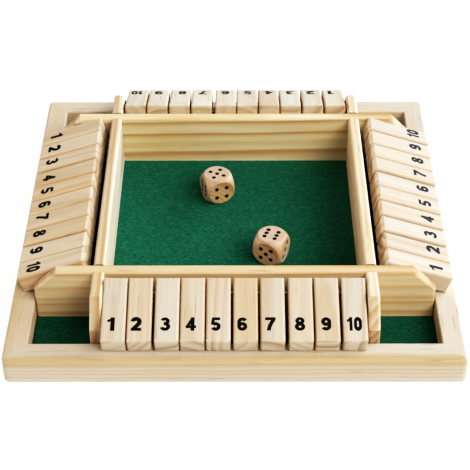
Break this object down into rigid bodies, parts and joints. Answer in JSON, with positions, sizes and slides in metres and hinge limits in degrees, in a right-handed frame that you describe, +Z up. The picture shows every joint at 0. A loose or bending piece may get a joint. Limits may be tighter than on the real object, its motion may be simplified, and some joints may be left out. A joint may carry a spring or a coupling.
{
  "type": "shut the box game",
  "caption": "Square wooden game tray with a felt floor, rows of numbered flip tiles hinged on rods along all sides, corner pockets and loose dice.",
  "frame": {"origin": "middle of the board on the surface it stands on", "axes": "+Z up, -Y towards the player of the front side, +X to that player's right"},
  "size_m": [0.221, 0.221, 0.0359],
  "materials": {
    "frame_pine": "sanded, clear matt",
    "wall_pine": "sanded, clear matt",
    "tile_wood": "sanded, printed numeral",
    "die_wood": "polished, black pips",
    "plywood": "plain sanded",
    "felt": "short nap",
    "steel": "drawn wire"
  },
  "bodies": {
    "board": {"base_panel": "plywood", "felt_lining": "felt", "frame_front": "frame_pine", "frame_right": "frame_pine", "frame_back": "frame_pine", "frame_left": "frame_pine", "wall_front": "wall_pine", "wall_right": "wall_pine", "wall_back": "wall_pine", "wall_left": "wall_pine", "rod_front": "steel", "rod_right": "steel", "rod_back": "steel", "rod_left": "steel"},
    "tile_front_1": {"tile_front_1": "tile_wood"},
    "tile_front_2": {"tile_front_2": "tile_wood"},
    "tile_front_3": {"tile_front_3": "tile_wood"},
    "tile_front_4": {"tile_front_4": "tile_wood"},
    "tile_front_5": {"tile_front_5": "tile_wood"},
    "tile_front_6": {"tile_front_6": "tile_wood"},
    "tile_front_7": {"tile_front_7": "tile_wood"},
    "tile_front_8": {"tile_front_8": "tile_wood"},
    "tile_front_9": {"tile_front_9": "tile_wood"},
    "tile_front_10": {"tile_front_10": "tile_wood"},
    "tile_right_1": {"tile_right_1": "tile_wood"},
    "tile_right_2": {"tile_right_2": "tile_wood"},
    "tile_right_3": {"tile_right_3": "tile_wood"},
    "tile_right_4": {"tile_right_4": "tile_wood"},
    "tile_right_5": {"tile_right_5": "tile_wood"},
    "tile_right_6": {"tile_right_6": "tile_wood"},
    "tile_right_7": {"tile_right_7": "tile_wood"},
    "tile_right_8": {"tile_right_8": "tile_wood"},
    "tile_right_9": {"tile_right_9": "tile_wood"},
    "tile_right_10": {"tile_right_10": "tile_wood"},
    "tile_back_1": {"tile_back_1": "tile_wood"},
    "tile_back_2": {"tile_back_2": "tile_wood"},
    "tile_back_3": {"tile_back_3": "tile_wood"},
    "tile_back_4": {"tile_back_4": "tile_wood"},
    "tile_back_5": {"tile_back_5": "tile_wood"},
    "tile_back_6": {"tile_back_6": "tile_wood"},
    "tile_back_7": {"tile_back_7": "tile_wood"},
    "tile_back_8": {"tile_back_8": "tile_wood"},
    "tile_back_9": {"tile_back_9": "tile_wood"},
    "tile_back_10": {"tile_back_10": "tile_wood"},
    "tile_left_1": {"tile_left_1": "tile_wood"},
    "tile_left_2": {"tile_left_2": "tile_wood"},
    "tile_left_3": {"tile_left_3": "tile_wood"},
    "tile_left_4": {"tile_left_4": "tile_wood"},
    "tile_left_5": {"tile_left_5": "tile_wood"},
    "tile_left_6": {"tile_left_6": "tile_wood"},
    "tile_left_7": {"tile_left_7": "tile_wood"},
    "tile_left_8": {"tile_left_8": "tile_wood"},
    "tile_left_9": {"tile_left_9": "tile_wood"},
    "tile_left_10": {"tile_left_10": "tile_wood"},
    "die_left": {"die_left": "die_wood"},
    "die_right": {"die_right": "die_wood"}
  },
  "joints": [
    {"name": "tile_front_1_flip", "type": "hinge", "parent": "board", "child": "tile_front_1", "pos_m": [-0.0574, -0.07837, 0.0296], "axis": [-1, 0, 0], "range_deg": [0, 125]},
    {"name": "tile_front_2_flip", "type": "hinge", "parent": "board", "child": "tile_front_2", "pos_m": [-0.0452, -0.07837, 0.0296], "axis": [-1, 0, 0], "range_deg": [0, 140]},
    {"name": "tile_front_3_flip", "type": "hinge", "parent": "board", "child": "tile_front_3", "pos_m": [-0.0322, -0.07837, 0.0296], "axis": [-1, 0, 0], "range_deg": [0, 140]},
    {"name": "tile_front_4_flip", "type": "hinge", "parent": "board", "child": "tile_front_4", "pos_m": [-0.0201, -0.07837, 0.0296], "axis": [-1, 0, 0], "range_deg": [0, 140]},
    {"name": "tile_front_5_flip", "type": "hinge", "parent": "board", "child": "tile_front_5", "pos_m": [-0.0078, -0.07837, 0.0296], "axis": [-1, 0, 0], "range_deg": [0, 140]},
    {"name": "tile_front_6_flip", "type": "hinge", "parent": "board", "child": "tile_front_6", "pos_m": [0.0051, -0.07837, 0.0296], "axis": [-1, 0, 0], "range_deg": [0, 140]},
    {"name": "tile_front_7_flip", "type": "hinge", "parent": "board", "child": "tile_front_7", "pos_m": [0.0179, -0.07837, 0.0296], "axis": [-1, 0, 0], "range_deg": [0, 140]},
    {"name": "tile_front_8_flip", "type": "hinge", "parent": "board", "child": "tile_front_8", "pos_m": [0.0313, -0.07837, 0.0296], "axis": [-1, 0, 0], "range_deg": [0, 140]},
    {"name": "tile_front_9_flip", "type": "hinge", "parent": "board", "child": "tile_front_9", "pos_m": [0.0438, -0.07837, 0.0296], "axis": [-1, 0, 0], "range_deg": [0, 140]},
    {"name": "tile_front_10_flip", "type": "hinge", "parent": "board", "child": "tile_front_10", "pos_m": [0.0568, -0.07837, 0.0296], "axis": [-1, 0, 0], "range_deg": [0, 125]},
    {"name": "tile_right_1_flip", "type": "hinge", "parent": "board", "child": "tile_right_1", "pos_m": [0.07837, -0.0574, 0.0296], "axis": [0, -1, 0], "range_deg": [0, 125]},
    {"name": "tile_right_2_flip", "type": "hinge", "parent": "board", "child": "tile_right_2", "pos_m": [0.07837, -0.0453, 0.0296], "axis": [0, -1, 0], "range_deg": [0, 140]},
    {"name": "tile_right_3_flip", "type": "hinge", "parent": "board", "child": "tile_right_3", "pos_m": [0.07837, -0.0317, 0.0296], "axis": [0, -1, 0], "range_deg": [0, 140]},
    {"name": "tile_right_4_flip", "type": "hinge", "parent": "board", "child": "tile_right_4", "pos_m": [0.07837, -0.0186, 0.0296], "axis": [0, -1, 0], "range_deg": [0, 140]},
    {"name": "tile_right_5_flip", "type": "hinge", "parent": "board", "child": "tile_right_5", "pos_m": [0.07837, -0.0058, 0.0296], "axis": [0, -1, 0], "range_deg": [0, 140]},
    {"name": "tile_right_6_flip", "type": "hinge", "parent": "board", "child": "tile_right_6", "pos_m": [0.07837, 0.0063, 0.0296], "axis": [0, -1, 0], "range_deg": [0, 140]},
    {"name": "tile_right_7_flip", "type": "hinge", "parent": "board", "child": "tile_right_7", "pos_m": [0.07837, 0.0197, 0.0296], "axis": [0, -1, 0], "range_deg": [0, 140]},
    {"name": "tile_right_8_flip", "type": "hinge", "parent": "board", "child": "tile_right_8", "pos_m": [0.07837, 0.0318, 0.0296], "axis": [0, -1, 0], "range_deg": [0, 140]},
    {"name": "tile_right_9_flip", "type": "hinge", "parent": "board", "child": "tile_right_9", "pos_m": [0.07837, 0.0444, 0.0296], "axis": [0, -1, 0], "range_deg": [0, 140]},
    {"name": "tile_right_10_flip", "type": "hinge", "parent": "board", "child": "tile_right_10", "pos_m": [0.07837, 0.0574, 0.0296], "axis": [0, -1, 0], "range_deg": [0, 125]},
    {"name": "tile_back_1_flip", "type": "hinge", "parent": "board", "child": "tile_back_1", "pos_m": [0.05668, 0.07837, 0.0296], "axis": [1, 0, 0], "range_deg": [0, 125]},
    {"name": "tile_back_2_flip", "type": "hinge", "parent": "board", "child": "tile_back_2", "pos_m": [0.04406, 0.07837, 0.0296], "axis": [1, 0, 0], "range_deg": [0, 140]},
    {"name": "tile_back_3_flip", "type": "hinge", "parent": "board", "child": "tile_back_3", "pos_m": [0.03144, 0.07837, 0.0296], "axis": [1, 0, 0], "range_deg": [0, 140]},
    {"name": "tile_back_4_flip", "type": "hinge", "parent": "board", "child": "tile_back_4", "pos_m": [0.01923, 0.07837, 0.0296], "axis": [1, 0, 0], "range_deg": [0, 140]},
    {"name": "tile_back_5_flip", "type": "hinge", "parent": "board", "child": "tile_back_5", "pos_m": [0.00672, 0.07837, 0.0296], "axis": [1, 0, 0], "range_deg": [0, 140]},
    {"name": "tile_back_6_flip", "type": "hinge", "parent": "board", "child": "tile_back_6", "pos_m": [-0.00549, 0.07837, 0.0296], "axis": [1, 0, 0], "range_deg": [0, 140]},
    {"name": "tile_back_7_flip", "type": "hinge", "parent": "board", "child": "tile_back_7", "pos_m": [-0.01913, 0.07837, 0.0296], "axis": [1, 0, 0], "range_deg": [0, 140]},
    {"name": "tile_back_8_flip", "type": "hinge", "parent": "board", "child": "tile_back_8", "pos_m": [-0.03175, 0.07837, 0.0296], "axis": [1, 0, 0], "range_deg": [0, 140]},
    {"name": "tile_back_9_flip", "type": "hinge", "parent": "board", "child": "tile_back_9", "pos_m": [-0.04427, 0.07837, 0.0296], "axis": [1, 0, 0], "range_deg": [0, 140]},
    {"name": "tile_back_10_flip", "type": "hinge", "parent": "board", "child": "tile_back_10", "pos_m": [-0.05658, 0.07837, 0.0296], "axis": [1, 0, 0], "range_deg": [0, 125]},
    {"name": "tile_left_1_flip", "type": "hinge", "parent": "board", "child": "tile_left_1", "pos_m": [-0.07837, 0.0566, 0.0296], "axis": [0, 1, 0], "range_deg": [0, 125]},
    {"name": "tile_left_2_flip", "type": "hinge", "parent": "board", "child": "tile_left_2", "pos_m": [-0.07837, 0.0444, 0.0296], "axis": [0, 1, 0], "range_deg": [0, 140]},
    {"name": "tile_left_3_flip", "type": "hinge", "parent": "board", "child": "tile_left_3", "pos_m": [-0.07837, 0.0316, 0.0296], "axis": [0, 1, 0], "range_deg": [0, 140]},
    {"name": "tile_left_4_flip", "type": "hinge", "parent": "board", "child": "tile_left_4", "pos_m": [-0.07837, 0.0182, 0.0296], "axis": [0, 1, 0], "range_deg": [0, 140]},
    {"name": "tile_left_5_flip", "type": "hinge", "parent": "board", "child": "tile_left_5", "pos_m": [-0.07837, 0.0058, 0.0296], "axis": [0, 1, 0], "range_deg": [0, 140]},
    {"name": "tile_left_6_flip", "type": "hinge", "parent": "board", "child": "tile_left_6", "pos_m": [-0.07837, -0.0067, 0.0296], "axis": [0, 1, 0], "range_deg": [0, 140]},
    {"name": "tile_left_7_flip", "type": "hinge", "parent": "board", "child": "tile_left_7", "pos_m": [-0.07837, -0.0187, 0.0296], "axis": [0, 1, 0], "range_deg": [0, 140]},
    {"name": "tile_left_8_flip", "type": "hinge", "parent": "board", "child": "tile_left_8", "pos_m": [-0.07837, -0.0313, 0.0296], "axis": [0, 1, 0], "range_deg": [0, 140]},
    {"name": "tile_left_9_flip", "type": "hinge", "parent": "board", "child": "tile_left_9", "pos_m": [-0.07837, -0.0445, 0.0296], "axis": [0, 1, 0], "range_deg": [0, 140]},
    {"name": "tile_left_10_flip", "type": "hinge", "parent": "board", "child": "tile_left_10", "pos_m": [-0.07837, -0.0566, 0.0296], "axis": [0, 1, 0], "range_deg": [0, 125]},
    {"name": "die_left_lift", "type": "slide", "parent": "board", "child": "die_left", "axis": [0, 0, 1], "range_m": [0, 0.06]},
    {"name": "die_right_lift", "type": "slide", "parent": "board", "child": "die_right", "axis": [0, 0, 1], "range_m": [0, 0.06]}
  ]
}
